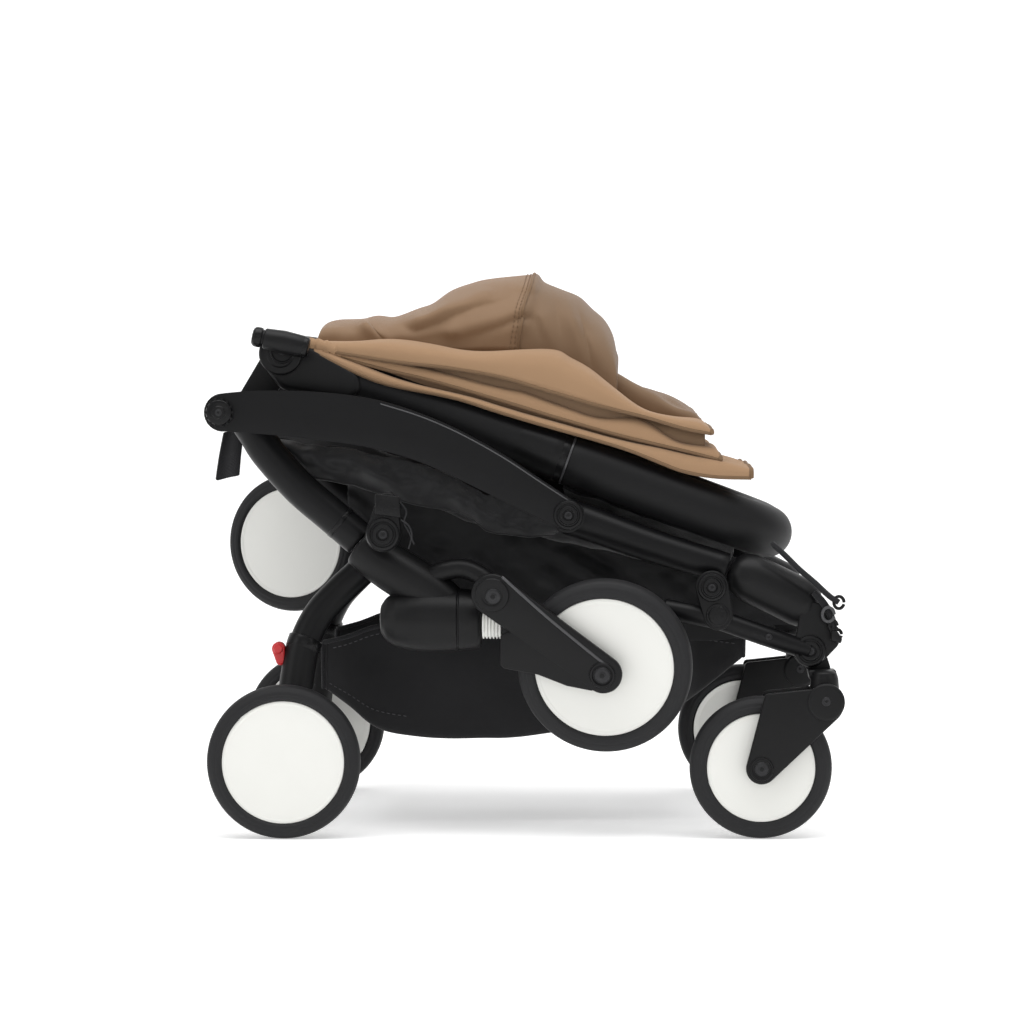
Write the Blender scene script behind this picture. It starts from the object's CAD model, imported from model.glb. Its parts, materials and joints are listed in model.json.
# %% [markdown]
# # A folded baby stroller
# The stroller stands folded on its rear wheels and front casters.  A frame file already holds every
# rigid part in its place, in metres; this script gives each part its finished surface, adds the small
# hardware, and sets the cloth over them.  We start by loading that frame.

# %% Load the frame
import json
import math

import bmesh
import bpy
from mathutils import Matrix, Vector, noise


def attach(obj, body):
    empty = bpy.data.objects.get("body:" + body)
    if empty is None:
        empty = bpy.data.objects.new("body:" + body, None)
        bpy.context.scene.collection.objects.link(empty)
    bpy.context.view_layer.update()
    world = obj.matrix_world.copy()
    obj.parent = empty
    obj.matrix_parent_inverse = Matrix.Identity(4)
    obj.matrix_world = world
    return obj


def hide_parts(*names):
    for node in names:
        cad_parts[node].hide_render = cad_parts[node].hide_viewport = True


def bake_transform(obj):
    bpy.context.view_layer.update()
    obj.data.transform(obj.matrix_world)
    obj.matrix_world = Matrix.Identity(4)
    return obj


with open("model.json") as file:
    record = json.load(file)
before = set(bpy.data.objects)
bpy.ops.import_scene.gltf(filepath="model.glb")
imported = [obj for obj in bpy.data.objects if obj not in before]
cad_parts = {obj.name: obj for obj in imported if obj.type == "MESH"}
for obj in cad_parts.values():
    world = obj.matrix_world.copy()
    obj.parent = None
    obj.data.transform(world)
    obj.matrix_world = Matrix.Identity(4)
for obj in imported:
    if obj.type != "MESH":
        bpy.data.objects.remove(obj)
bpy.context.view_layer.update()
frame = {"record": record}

MM = 0.001
joints = {joint["name"]: joint for joint in frame["record"]["behaviour"]["joints"]}

# %% [markdown]
# The parts were drawn in millimetres about a drawing origin.  One known point, the near rear wheel's
# axle, ties the drawing to the frame, so every other place can be given in drawing millimetres.

# %% Drawing coordinates
REAR_AXLE = Vector((-217.2, -205.0, 69.5))
drawing_origin = Vector(joints["rear_wheel_spin_near"]["pos_m"]) - REAR_AXLE * MM
print("drawing origin", [round(value, 4) for value in drawing_origin])


def spot(x, y, z):
    """Drawing millimetres to a place in the frame, in metres."""
    return drawing_origin + Vector((x, y, z)) * MM


def pivot(name):
    """A joint's place in drawing millimetres."""
    return (Vector(joints[name]["pos_m"]) - drawing_origin) / MM


BAR_PIVOT = pivot("push_bar_fold")
KNEE = pivot("frame_fold")
BRACKET_PIVOT = pivot("caster_bracket_fold")
FORK_PIVOT = pivot("mid_suspension")
MID_WHEEL = pivot("mid_wheel_spin")
STOWED_WHEEL = pivot("stowed_wheel_spin")
STOW_PIVOT = pivot("stowed_arm_swing")
SIDES = (("near", -1.0), ("far", 1.0))

# %% [markdown]
# ## Materials
# Shader maths reads best as ordinary sums.  A small class wraps a socket and turns +, - and * into
# Math nodes, so a mask can be written as 1 - mask * 0.5.  Every other node comes from one method that
# takes the node's type, its settings and its inputs.

# %% Shader arithmetic
class Value:
    """A number that changes over a surface, held as a node socket."""

    def __init__(self, sheet, socket):
        self.sheet = sheet
        self.socket = socket

    def _maths(self, operation, first, second=None):
        inputs = {0: first} if second is None else {0: first, 1: second}
        return self.sheet.node("ShaderNodeMath", {"operation": operation}, inputs, 0)

    def __add__(self, other):
        return self._maths("ADD", self, other)

    __radd__ = __add__

    def __sub__(self, other):
        return self._maths("SUBTRACT", self, other)

    def __rsub__(self, other):
        return self._maths("SUBTRACT", other, self)

    def __mul__(self, other):
        return self._maths("MULTIPLY", self, other)

    __rmul__ = __mul__

    def wave(self):
        return self._maths("SINE", self)


class Finish:
    """A material whose nodes are made by calls."""

    def __init__(self, name, colour, roughness, **plain):
        self.material = bpy.data.materials.new(name)
        self.material.use_nodes = True
        self.tree = self.material.node_tree
        self.shader = self.tree.nodes["Principled BSDF"]
        self.shader.inputs["Base Color"].default_value = (*colour, 1.0)
        self.shader.inputs["Roughness"].default_value = roughness
        for socket, value in plain.items():
            self.shader.inputs[socket.replace("_", " ")].default_value = value

    def node(self, kind, settings, inputs, output=0):
        made = self.tree.nodes.new(kind)
        for key, value in settings.items():
            setattr(made, key, value)
        for key, value in inputs.items():
            if isinstance(value, Value):
                self.tree.links.new(value.socket, made.inputs[key])
            else:
                made.inputs[key].default_value = value
        return Value(self, made.outputs[output])

    def place(self):
        return self.node("ShaderNodeTexCoord", {}, {}, "Object")

    def axes(self):
        """Three numbers: the place along X, Y and Z, in metres."""
        place = self.place()
        return [self.node("ShaderNodeSeparateXYZ", {}, {0: place}, key) for key in ("X", "Y", "Z")]

    def noise(self, scale, detail=2.0, rough=0.5):
        inputs = {"Vector": self.place(), "Scale": scale, "Detail": detail, "Roughness": rough}
        return self.node("ShaderNodeTexNoise", {}, inputs, "Fac")

    def mix(self, mask, first, second):
        inputs = {0: mask, 6: first, 7: second}
        return self.node("ShaderNodeMix", {"data_type": "RGBA"}, inputs, 2)

    def feed(self, socket, value):
        self.tree.links.new(value.socket, self.shader.inputs[socket])

    def bump(self, height, strength, distance):
        inputs = {"Height": height, "Strength": strength, "Distance": distance}
        self.feed("Normal", self.node("ShaderNodeBump", {}, inputs))


def rgb(red, green, blue):
    return (red, green, blue, 1.0)


print("shader classes ready")

# %% [markdown]
# **Powder-coated tube.**  The frame is matte black with a fine orange-peel surface.  A little noise in
# the roughness keeps the long highlights from looking like plastic wrap, and faint dust greys it.

# %% Hard finishes
def powder_coat():
    made = Finish("powder coat", (0.004, 0.004, 0.005), 0.40, Specular_IOR_Level=0.17)
    peel = made.noise(1400.0, 2.0)
    smears = made.noise(24.0, 4.0, 0.6)
    made.feed("Base Color", made.mix(smears, rgb(0.003, 0.003, 0.0035), rgb(0.005, 0.005, 0.0055)))
    made.feed("Roughness", smears * 0.16 + peel * 0.06 + 0.28)
    made.bump(peel, 0.10, 0.0004)
    return made.material


def moulded_plastic(name, shade, gloss):
    made = Finish(name, (shade, shade, shade * 1.08), gloss, Specular_IOR_Level=0.18)
    grain = made.node("ShaderNodeTexVoronoi", {}, {"Vector": made.place(), "Scale": 1500.0}, "Distance")
    smears = made.noise(30.0, 4.0, 0.6)
    dark = rgb(shade * 0.75, shade * 0.75, shade * 0.8)
    made.feed("Base Color", made.mix(smears, dark, rgb(shade * 1.4, shade * 1.4, shade * 1.5)))
    made.feed("Roughness", smears * 0.14 + gloss - 0.07)
    made.bump(grain, 0.14, 0.0003)
    return made.material


def soft_grip():
    made = Finish("soft grip", (0.005, 0.005, 0.006), 0.58, Specular_IOR_Level=0.19)
    pores = made.noise(1900.0, 3.0, 0.7)
    smears = made.noise(18.0, 3.0, 0.6)
    made.feed("Base Color", made.mix(smears, rgb(0.004, 0.004, 0.0045), rgb(0.007, 0.007, 0.0075)))
    made.feed("Roughness", smears * 0.12 + 0.46)
    made.bump(pores, 0.22, 0.0004)
    return made.material


def tyre_rubber():
    made = Finish("tyre rubber", (0.016, 0.016, 0.017), 0.62, Specular_IOR_Level=0.26)
    dust = made.noise(60.0, 5.0, 0.65)
    pores = made.noise(1600.0, 2.0)
    made.feed("Base Color", made.mix(dust, rgb(0.009, 0.009, 0.010), rgb(0.016, 0.016, 0.017)))
    made.feed("Roughness", dust * 0.2 + 0.52)
    made.bump(pores, 0.16, 0.0003)
    return made.material


def satin_disc():
    made = Finish("satin disc", (0.76, 0.76, 0.72), 0.36, Specular_IOR_Level=0.5)
    cloud = made.noise(14.0, 3.0, 0.5)
    grain = made.noise(900.0, 2.0)
    made.feed("Base Color", made.mix(cloud, rgb(0.70, 0.70, 0.665), rgb(0.76, 0.76, 0.725)))
    made.feed("Roughness", cloud * 0.12 + grain * 0.05 + 0.30)
    made.bump(grain, 0.05, 0.0002)
    return made.material


def painted(name, colour, gloss):
    made = Finish(name, colour, gloss)
    cloud = made.noise(80.0, 3.0, 0.5)
    deep = rgb(*(part * 0.8 for part in colour))
    made.feed("Base Color", made.mix(cloud, deep, rgb(*(min(1.0, part * 1.15) for part in colour))))
    made.feed("Roughness", cloud * 0.1 + gloss - 0.05)
    made.bump(made.noise(1200.0, 2.0), 0.08, 0.0003)
    return made.material


def dark_steel():
    made = Finish("dark steel", (0.02, 0.02, 0.022), 0.38, Metallic=0.7)
    swirl = made.noise(700.0, 3.0, 0.6)
    made.feed("Base Color", made.mix(swirl, rgb(0.014, 0.014, 0.015), rgb(0.034, 0.034, 0.036)))
    made.feed("Roughness", swirl * 0.2 + 0.25)
    made.bump(swirl, 0.08, 0.0002)
    return made.material

print("hard finishes ready")

# %% [markdown]
# **Cloth.**  A weave is two sets of threads that pass over and under each other. A slow noise shifts
# the colour, as dye does, and a soft sheen lights the cloth at grazing angles.

# %% Cloth finishes
def woven(name, light, dark, thread, strength, sheen, rough=0.86):
    made = Finish(name, light, rough, Specular_IOR_Level=0.18, Sheen_Weight=sheen, Sheen_Roughness=0.45)
    along, across, up = made.axes()
    turns = 2.0 * math.pi / thread
    warp = (along * turns).wave()
    weft = ((across + up * 0.9) * turns).wave()
    checker = warp * weft * 0.5 + 0.5
    fibre = made.noise(2600.0, 3.0, 0.7)
    cloud = made.noise(9.0, 4.0, 0.6)
    mask = checker * 0.35 + fibre * 0.30 + cloud * 0.35
    made.feed("Base Color", made.mix(mask, rgb(*dark), rgb(*light)))
    made.feed("Roughness", cloud * 0.1 + rough - 0.05)
    made.bump(checker * 0.7 + fibre * 0.5, strength, 0.0006)
    return made.material


POWDER = powder_coat()
PLASTIC = moulded_plastic("moulded plastic", 0.005, 0.40)
GLOSS_PLASTIC = moulded_plastic("smooth plastic", 0.005, 0.28)
GRIP = soft_grip()
TYRE = tyre_rubber()
DISC = satin_disc()
STEEL = dark_steel()
EDGE_SHINE = painted("worn edge", (0.045, 0.045, 0.048), 0.32)
RED = painted("red plastic", (0.50, 0.018, 0.022), 0.38)
WHITE = painted("white plastic", (0.78, 0.78, 0.75), 0.42)
TAN = woven("tan twill", (0.40, 0.255, 0.150), (0.25, 0.150, 0.082), 0.0011, 0.30, 0.10)
TAN_HOOD = woven("tan hood", (0.275, 0.172, 0.100), (0.160, 0.096, 0.054), 0.0011, 0.30, 0.10, 0.58)
TAN_DARK = woven("tan lining", (0.225, 0.142, 0.084), (0.13, 0.080, 0.045), 0.0011, 0.30, 0.10, 0.60)
TAN_EDGE = woven("tan piping", (0.22, 0.138, 0.080), (0.12, 0.073, 0.040), 0.0008, 0.25, 0.1)
BLACK_CLOTH = woven("black cloth", (0.019, 0.019, 0.020), (0.008, 0.008, 0.009), 0.0013, 0.35, 0.12)
BLACK_SATIN = woven("black satin", (0.021, 0.021, 0.022), (0.009, 0.009, 0.010), 0.0009, 0.25, 0.20, 0.50)
WEBBING = woven("webbing", (0.024, 0.024, 0.026), (0.008, 0.008, 0.009), 0.0022, 0.6, 0.15)
THREAD = painted("thread", (0.045, 0.045, 0.048), 0.7)
print("finishes", len(bpy.data.materials))

# %% [markdown]
# ## Shape helpers
# Almost everything on a stroller is a bar, a turned part, a flat link or a sheet.  Each gets one
# helper.  All of them take drawing millimetres and give back an object whose mesh is in metres.

# %% Mesh helper
def solid(name, points, faces, surface, smooth=True, sharp=38.0):
    """A mesh object from drawing points."""
    mesh = bpy.data.meshes.new(name)
    mesh.from_pydata([tuple(spot(*point)) for point in points], [], faces)
    mesh.validate()
    work = bmesh.new()
    work.from_mesh(mesh)
    bmesh.ops.remove_doubles(work, verts=work.verts, dist=0.000005)
    bmesh.ops.recalc_face_normals(work, faces=work.faces)
    work.to_mesh(mesh)
    work.free()
    if smooth:
        mesh.shade_smooth()
        mesh.set_sharp_from_angle(angle=math.radians(sharp))
    mesh.materials.append(surface)
    made = bpy.data.objects.new(name, mesh)
    bpy.context.scene.collection.objects.link(made)
    return made


def fit(piece, body, *nodes, slot=None):
    """The piece moves with a body, stands for CAD nodes, and may fill a colour slot."""
    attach(piece, body)
    if nodes:
        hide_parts(*nodes)
    return piece


def crossing(x, z, reach):
    """A straight line across, from -reach to reach."""
    return [(x, -reach, z), (x, 0, z), (x, reach, z)]


def grid_faces(rows, columns, wrap_rows=False, wrap_columns=False):
    """Quads over a grid of points stored row by row."""
    faces = []
    for row in range(rows if wrap_rows else rows - 1):
        after = (row + 1) % rows
        for column in range(columns if wrap_columns else columns - 1):
            beside = (column + 1) % columns
            faces.append((row * columns + column, row * columns + beside,
                          after * columns + beside, after * columns + column))
    return faces


print("mesh helper ready")

# %% Smooth paths and bars
def smooth_path(knots, steps=8):
    """Points on a Catmull-Rom curve through the knots."""
    knots = [Vector(knot) for knot in knots]
    ends = [knots[0] * 2 - knots[1]] + knots + [knots[-1] * 2 - knots[-2]]
    path = []
    for index in range(1, len(ends) - 2):
        before, here, ahead, after = ends[index - 1:index + 3]
        for step in range(steps):
            t = step / steps
            path.append(0.5 * (2 * here + (ahead - before) * t
                               + (2 * before - 5 * here + 4 * ahead - after) * t * t
                               + (3 * here - before - 3 * ahead + after) * t * t * t))
    path.append(knots[-1])
    return path


def frames_along(path):
    """A square pair of directions at each point, carried along without twisting."""
    tangents = []
    for index in range(len(path)):
        ahead = path[min(index + 1, len(path) - 1)]
        behind = path[max(index - 1, 0)]
        tangents.append((ahead - behind).normalized())
    side = tangents[0].orthogonal().normalized()
    pairs = []
    for tangent in tangents:
        side = (side - tangent * side.dot(tangent)).normalized()
        pairs.append((side.copy(), tangent.cross(side).normalized()))
    return tangents, pairs


def loft(name, rings, surface):
    """A closed skin through rings of equally many points, capped at both ends."""
    count = len(rings[0])
    points = [point for ring in rings for point in ring]
    faces = grid_faces(len(rings), count, wrap_columns=True)
    faces.append(tuple(range(count))[::-1])
    faces.append(tuple(range((len(rings) - 1) * count, len(rings) * count)))
    return solid(name, points, faces, surface)


def circle(centre, first, second, size, sides):
    """Points round a centre in the plane of two directions."""
    angles = [2 * math.pi * k / sides for k in range(sides)]
    return [centre + (first * math.cos(angle) + second * math.sin(angle)) * size for angle in angles]


def bar(name, path, radius, surface, end_round=1.5, sides=40):
    """A round bar along a path; radius is a number or one number per point."""
    path = [Vector(point) for point in path]
    radii = list(radius) if isinstance(radius, (list, tuple)) else [radius] * len(path)
    tangents, pairs = frames_along(path)
    rings = []
    for k in range(4):
        turn = math.pi / 2 * k / 4
        shift = end_round * (1 - math.cos(turn))
        size = radii[0] - end_round * (1 - math.sin(turn))
        rings.append(circle(path[0] + tangents[0] * shift, *pairs[0], size, sides))
    for index in range(1, len(path) - 1):
        if min((path[index] - path[0]).length, (path[index] - path[-1]).length) > end_round:
            rings.append(circle(path[index], *pairs[index], radii[index], sides))
    for k in range(3, -1, -1):
        turn = math.pi / 2 * k / 4
        shift = end_round * (1 - math.cos(turn))
        size = radii[-1] - end_round * (1 - math.sin(turn))
        rings.append(circle(path[-1] - tangents[-1] * shift, *pairs[-1], size, sides))
    return loft(name, rings, surface)


print("smooth paths and bars ready")

# %% [markdown]
# Caps, wheels, washers and bolts are turned: a profile goes round an axis, with its corners eased a
# little, because a perfectly sharp edge never catches light.  Plates and links are slabs with bevelled
# rims, and `hull` draws the outline of a link as the belt round its end circles.

# %% Turned and flat shapes
def eased(points, size, closed=False, steps=3):
    """A polyline whose corners are rounded off."""
    points = [Vector(point) for point in points]
    result = []
    last = len(points) - 1
    for index, point in enumerate(points):
        if not closed and index in (0, last):
            result.append(point)
            continue
        before = points[index - 1] - point
        after = points[(index + 1) % len(points)] - point
        cut = min(size, before.length * 0.45, after.length * 0.45)
        start = point + before.normalized() * cut
        end = point + after.normalized() * cut
        for step in range(steps + 1):
            t = step / steps
            result.append(start * (1 - t) ** 2 + point * 2 * t * (1 - t) + end * t * t)
    return result


def turned(name, profile, centre, axis, surface, sides=72, ease=0.8, ring=False):
    """A shape turned about an axis; the profile is (radius, distance along the axis)."""
    profile = eased(profile, ease, closed=ring)
    axis = Vector(axis).normalized()
    first = axis.orthogonal().normalized()
    second = axis.cross(first)
    points = []
    for radius, along in profile:
        points += circle(Vector(centre) + axis * along, first, second, max(radius, 0.0005), sides)
    faces = grid_faces(len(profile), sides, wrap_rows=ring, wrap_columns=True)
    if not ring:
        faces.append(tuple(range(sides))[::-1])
        faces.append(tuple(range((len(profile) - 1) * sides, len(profile) * sides)))
    return solid(name, points, faces, surface)


def slab(name, outline, low, high, surface, edge=1.5, turn=None, hinge=(0, 0, 0)):
    """A flat piece: an outline in X and Z between two places across, with rounded edges."""
    low, high = sorted((low, high))
    front = [Vector((x, low, z)) for x, z in outline]
    back = [Vector((x, high, z)) for x, z in outline]
    if turn is not None:
        hinge = Vector(hinge)
        front = [turn @ (point - hinge) + hinge for point in front]
        back = [turn @ (point - hinge) + hinge for point in back]
    count = len(outline)
    faces = [tuple(range(count)), tuple(range(count, 2 * count))[::-1]]
    faces += [(k, k + count, (k + 1) % count + count, (k + 1) % count) for k in range(count)]
    made = solid(name, front + back, faces, surface, smooth=False)
    work = bmesh.new()
    work.from_mesh(made.data)
    rims = [line for line in work.edges if line.calc_face_angle(0.0) > math.radians(60)]
    bmesh.ops.bevel(work, geom=rims, offset=edge * MM, segments=3, profile=0.5, affect="EDGES",
                    clamp_overlap=True)
    work.to_mesh(made.data)
    work.free()
    made.data.shade_smooth()
    made.data.set_sharp_from_angle(angle=math.radians(42.0))
    return made


def hull(*lobes, steps=40):
    """The outline round several circles, each given as (x, z, radius)."""
    points = []
    for x, z, radius in lobes:
        count = steps if radius > 0 else 1
        points += [(x + radius * math.cos(2 * math.pi * k / count),
                    z + radius * math.sin(2 * math.pi * k / count)) for k in range(count)]
    points = sorted(set(points))

    def half(ordered):
        chain = []
        for point in ordered:
            while len(chain) > 1:
                (ax, az), (bx, bz) = chain[-2:]
                if (bx - ax) * (point[1] - az) - (bz - az) * (point[0] - ax) > 0:
                    break
                chain.pop()
            chain.append(point)
        return chain[:-1]

    return half(points) + half(points[::-1])


def curve_xz(knots, steps=6):
    """A smooth line in X and Z through knots given as (x, z)."""
    return [(point.x, point.z) for point in smooth_path([(x, 0, z) for x, z in knots], steps)]


def along_line(knots):
    """Height as a function of distance forward, smooth through knots given as (x, z)."""
    line = curve_xz(knots, 10)

    def height(x):
        if x <= line[0][0]:
            return line[0][1]
        for (ax, az), (bx, bz) in zip(line, line[1:]):
            if ax <= x <= bx and bx > ax:
                return az + (bz - az) * (x - ax) / (bx - ax)
        return line[-1][1]

    return height


print("turned and flat shapes ready")

# %% [markdown]
# Cloth is a grid of points given a thickness of about a millimetre.  Wrinkles come from slow noise
# along chosen directions, so that folds run the way the cloth is gathered.

# %% Cloth shapes
def cloth(name, rows, surface, thick, levels=1):
    """A sheet through rows of points, thickened and smoothed."""
    columns = len(rows[0])
    points = [point for row in rows for point in row]
    made = solid(name, points, grid_faces(len(rows), columns), surface, sharp=180.0)
    if levels:
        smoother = made.modifiers.new("smooth", "SUBSURF")
        smoother.levels = levels
        smoother.render_levels = levels
    body = made.modifiers.new("thickness", "SOLIDIFY")
    body.thickness = thick * MM
    body.offset = 0.0
    return made


def cut_from(piece, rows, across=None):
    """Declare a sheet, with the flat size it was cut to measured along its own rows and columns.
    A half oval is measured from its width across and its area."""
    columns = [[row[index] for row in rows] for index in range(len(rows[0]))]
    width, length = (max(sum((after - before).length for before, after in zip(line, line[1:]))
                         for line in lines) * MM for lines in (rows, columns))
    area = sum(((row[k + 1] - row[k]).cross(nxt[k] - row[k]).length
                + (row[k + 1] - nxt[k + 1]).cross(nxt[k] - nxt[k + 1]).length) / 2
               for row, nxt in zip(rows, rows[1:]) for k in range(len(row) - 1)) * MM * MM
    if across:  # a half oval fills pi / 4 of its box
        width, length = across * MM, area / (across * MM * math.pi / 4)
    min(area, width * length)
    print("sheet", piece.name, round(width, 3), round(length, 3), round(area, 4))


def ripple(x, y, z, along, across, seed=0.0):
    """Smooth noise between about -1 and 1; along and across are the fold sizes in millimetres."""
    return 2.0 * (noise.noise(Vector((x / along + seed, y / across, z / along - seed))))


def stitches(name, path, surface, length=3.2, gap=1.8, thick=0.45):
    """A row of short thread bars along a path."""
    path = [Vector(point) for point in path]
    marks = [0.0]
    for before, after in zip(path, path[1:]):
        marks.append(marks[-1] + (after - before).length)

    def at(distance):
        for index in range(len(path) - 1):
            if marks[index + 1] >= distance:
                share = (distance - marks[index]) / max(marks[index + 1] - marks[index], 0.001)
                return path[index].lerp(path[index + 1], share)
        return path[-1]

    points = []
    faces = []
    distance = gap
    while distance + length < marks[-1]:
        start, end = at(distance), at(distance + length)
        aim = (end - start).normalized()
        first = aim.orthogonal().normalized()
        second = aim.cross(first)
        base = len(points)
        for centre, size in ((start, thick * 0.5), (start.lerp(end, 0.25), thick),
                             (start.lerp(end, 0.75), thick), (end, thick * 0.5)):
            points += circle(centre, first, second, size, 6)
        for ring in range(3):
            for k in range(6):
                here = base + ring * 6
                faces.append((here + k, here + (k + 1) % 6, here + 6 + (k + 1) % 6, here + 6 + k))
        faces.append(tuple(base + k for k in range(6))[::-1])
        faces.append(tuple(base + 18 + k for k in range(6)))
        distance += length + gap
    return solid(name, points, faces, surface)


def bolt(name, centre, axis, radius, body, height=2.0):
    """A round-headed bolt: a domed head with a hexagon recess drawn as a dark plug."""
    head = [(0, height), (radius * 0.42, height), (radius * 0.5, height - 0.5),
            (radius * 0.8, height * 0.8), (radius, height * 0.3), (radius, -1.0), (0, -1.0)]
    fit(turned(name, head, centre, axis, STEEL, 40, 0.5), body)
    top = Vector(centre) + Vector(axis).normalized() * (height + 0.1)
    plug = [(0, 0.15), (radius * 0.34, 0.15), (radius * 0.34, -0.6), (0, -0.6)]
    fit(turned(name + "_socket", plug, top, axis, GLOSS_PLASTIC, 6, 0.05), body)


def rosette(name, centre, axis, radius, body, height):
    """A pivot cover with raised rings and a screw in the middle."""
    profile = [(0, height * 0.45), (radius * 0.36, height * 0.45), (radius * 0.38, height),
               (radius * 0.60, height), (radius * 0.64, height * 0.6), (radius * 0.74, height * 0.55),
               (radius * 0.78, height * 0.85), (radius * 0.94, height * 0.75), (radius, height * 0.2),
               (radius, -1.5), (0, -1.5)]
    fit(turned(name, profile, centre, axis, GLOSS_PLASTIC, 64, 0.35), body)
    bolt(name + "_screw", Vector(centre) + Vector(axis).normalized() * height * 0.45, axis, radius * 0.3,
         body, 1.2)


print("helpers ready")

# %% [markdown]
# ## Wheels
# Each wheel is a solid soft tyre pressed over a plastic disc.  Both are turned shapes.  The disc face
# is almost flat and sits a little inside the tyre, so a thin shadow rings it.

# %% Wheels
def wheel(name, centre, axis, radius, disc, width, body, boss_in, boss_out):
    """A tyre of that radius on a disc, and a boss on each side that stands out by more than the disc."""
    half = width / 2
    flank = [(disc, half - 2.6), (disc + 2.2, half - 0.6), (radius - 9.5, half - 0.4),
             (radius - 8.4, half - 1.1), (radius - 6.0, half - 1.2), (radius - 1.8, half - 4.2),
             (radius - 0.3, half - 8.0)]
    tread = flank + [(radius, 0)] + [(size, -along) for size, along in flank[::-1]]
    tyre = turned(name + "_tyre_skin", tread, centre, axis, TYRE, 128, 1.2, ring=True)
    fit(tyre, body, name + "_tyre", slot="tyre")
    face = half - 3.4
    plate = [(0, face - 0.6), (disc * 0.30, face - 0.5), (disc * 0.93, face), (disc * 0.955, face + 0.5),
             (disc - 0.2, face + 0.3), (disc - 0.2, 0.4 - half), (disc * 0.9, -face),
             (disc * 0.3, 0.6 - face), (0, 0.6 - face)]
    fit(turned(name + "_disc_skin", plate, centre, axis, DISC, 128, 0.4), body, name + "_disc",
        slot="white_disc")
    for reach, way in ((boss_in, -1), (boss_out, 1)):
        if half + reach > face + 1:
            hub = [(0, half + reach), (8.6, half + reach), (9.0, face - 1.5), (0, face - 1.5)]
            fit(turned(name + ("_boss_in" if way < 0 else "_boss_out"), hub, centre,
                       Vector(axis) * way, PLASTIC, 48, 0.6), body)


REAR_R = 69.5
for side, sign in SIDES:
    wheel("rear_wheel_" + side, pivot("rear_wheel_spin_" + side), (0, sign, 0), REAR_R, 55.4, 28.0,
          "rear_wheel_" + side, 8.4, -9.0)
    wheel("caster_wheel_" + side, pivot("caster_wheel_spin_" + side), (0, sign, 0), 64.4, 49.0, 26.0,
          "caster_wheel_" + side, 1.6, 1.6)
mid_axis = -Vector(joints["mid_wheel_spin"]["axis"]).normalized()
stow_axis = -Vector(joints["stowed_wheel_spin"]["axis"]).normalized()
wheel("mid_wheel", MID_WHEEL, mid_axis, 79.0, 63.0, 28.0, "mid_wheel", -9.0, 2.7)
wheel("stowed_wheel", STOWED_WHEEL, stow_axis, REAR_R, 55.4, 28.0, "stowed_wheel", 2.7, -9.0)
print("mid axis", [round(value, 3) for value in mid_axis])

# %% [markdown]
# ## Chassis
# Two side arches carry everything.  On the real stroller each is a moulded shell about 18 mm thick; a
# long round-edged slab gives the same soft highlight along its top edge.

# %% Side arches
ARCH_TOP = [(-272, 402), (-245, 404), (-205, 404), (-165, 401), (-130, 395), (-95, 384), (-60, 369),
            (-20, 347), (15, 324), (47, 303)]
ARCH_BOTTOM = [(32, 280), (5, 293), (-30, 310), (-65, 327), (-100, 342), (-140, 353), (-180, 359),
               (-225, 364), (-265, 367)]
REAR_PIVOT = (-272.0, 384.5)
SEAT_PIVOT = (38.6, 292.0)
CAP_X = -275.5
CAP_RIBS = 14
ARCH_Y = 200.0


def run_at(y, knots, steps):
    """A smooth path at one place across, through knots given as (x, z)."""
    return smooth_path([(x, y, z) for x, z in knots], steps)


def arc(centre, radius, start, sweep, steps=18):
    return [(centre[0] + radius * math.cos(math.radians(start + sweep * k / steps)),
             centre[1] + radius * math.sin(math.radians(start + sweep * k / steps)))
            for k in range(steps + 1)]


arch_outline = curve_xz(ARCH_TOP) + arc(SEAT_PIVOT, 15.8, 38, -170)[1:-1] + curve_xz(ARCH_BOTTOM)
arch_outline += arc(REAR_PIVOT, 17.3, 290, -225)[1:-1]
for side, sign in SIDES:
    arch = slab("arch_shell_" + side, arch_outline, sign * 182.0, sign * ARCH_Y, POWDER, 4.2)
    fit(arch, "chassis", "side_arch_" + side, slot="black_metal")
    outer = sign * ARCH_Y
    lip = [Vector((x, outer - sign * 0.4, z - 2.6)) for x, z in curve_xz(ARCH_TOP[4:])]
    fit(bar("arch_lip_" + side, lip, 0.7, EDGE_SHINE, 0.4, 12), "chassis")
    cap = [(0, 7.5), (5.4, 7.5), (5.9, 6.3), (8.6, 6.0), (11.2, 5.2), (12.2, 2.0), (12.4, -1.5),
           (0, -1.5)]
    fit(turned("corner_cap_" + side, cap, (CAP_X, outer, REAR_PIVOT[1]), (0, sign, 0),
               GLOSS_PLASTIC, 64, 0.8), "chassis")
    bolt("corner_cap_screw_" + side, (CAP_X, outer + sign * 7.0, REAR_PIVOT[1]), (0, sign, 0), 3.4,
         "chassis", 1.0)
    for k in range(CAP_RIBS):
        angle = 2 * math.pi * k / CAP_RIBS
        rib_x = CAP_X + 12.2 * math.cos(angle)
        rib_z = REAR_PIVOT[1] + 12.2 * math.sin(angle)
        rib = [(rib_x, outer + sign * out, rib_z) for out in (0.5, 3, 5.0)]
        fit(bar("corner_cap_rib_%s_%02d" % (side, k), rib, 1.1, GLOSS_PLASTIC, 0.4, 10), "chassis")
    rosette("seat_pivot_cover_" + side, (SEAT_PIVOT[0] + 1, outer, SEAT_PIVOT[1]), (0, sign, 0), 13.6,
            "chassis", 3.6)

# %% [markdown]
# From each rear corner a leg tube curves down and forward to the knee.  Two straight tubes cross from
# side to side, and a plate by each rear corner carries the push bar's hub.

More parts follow.
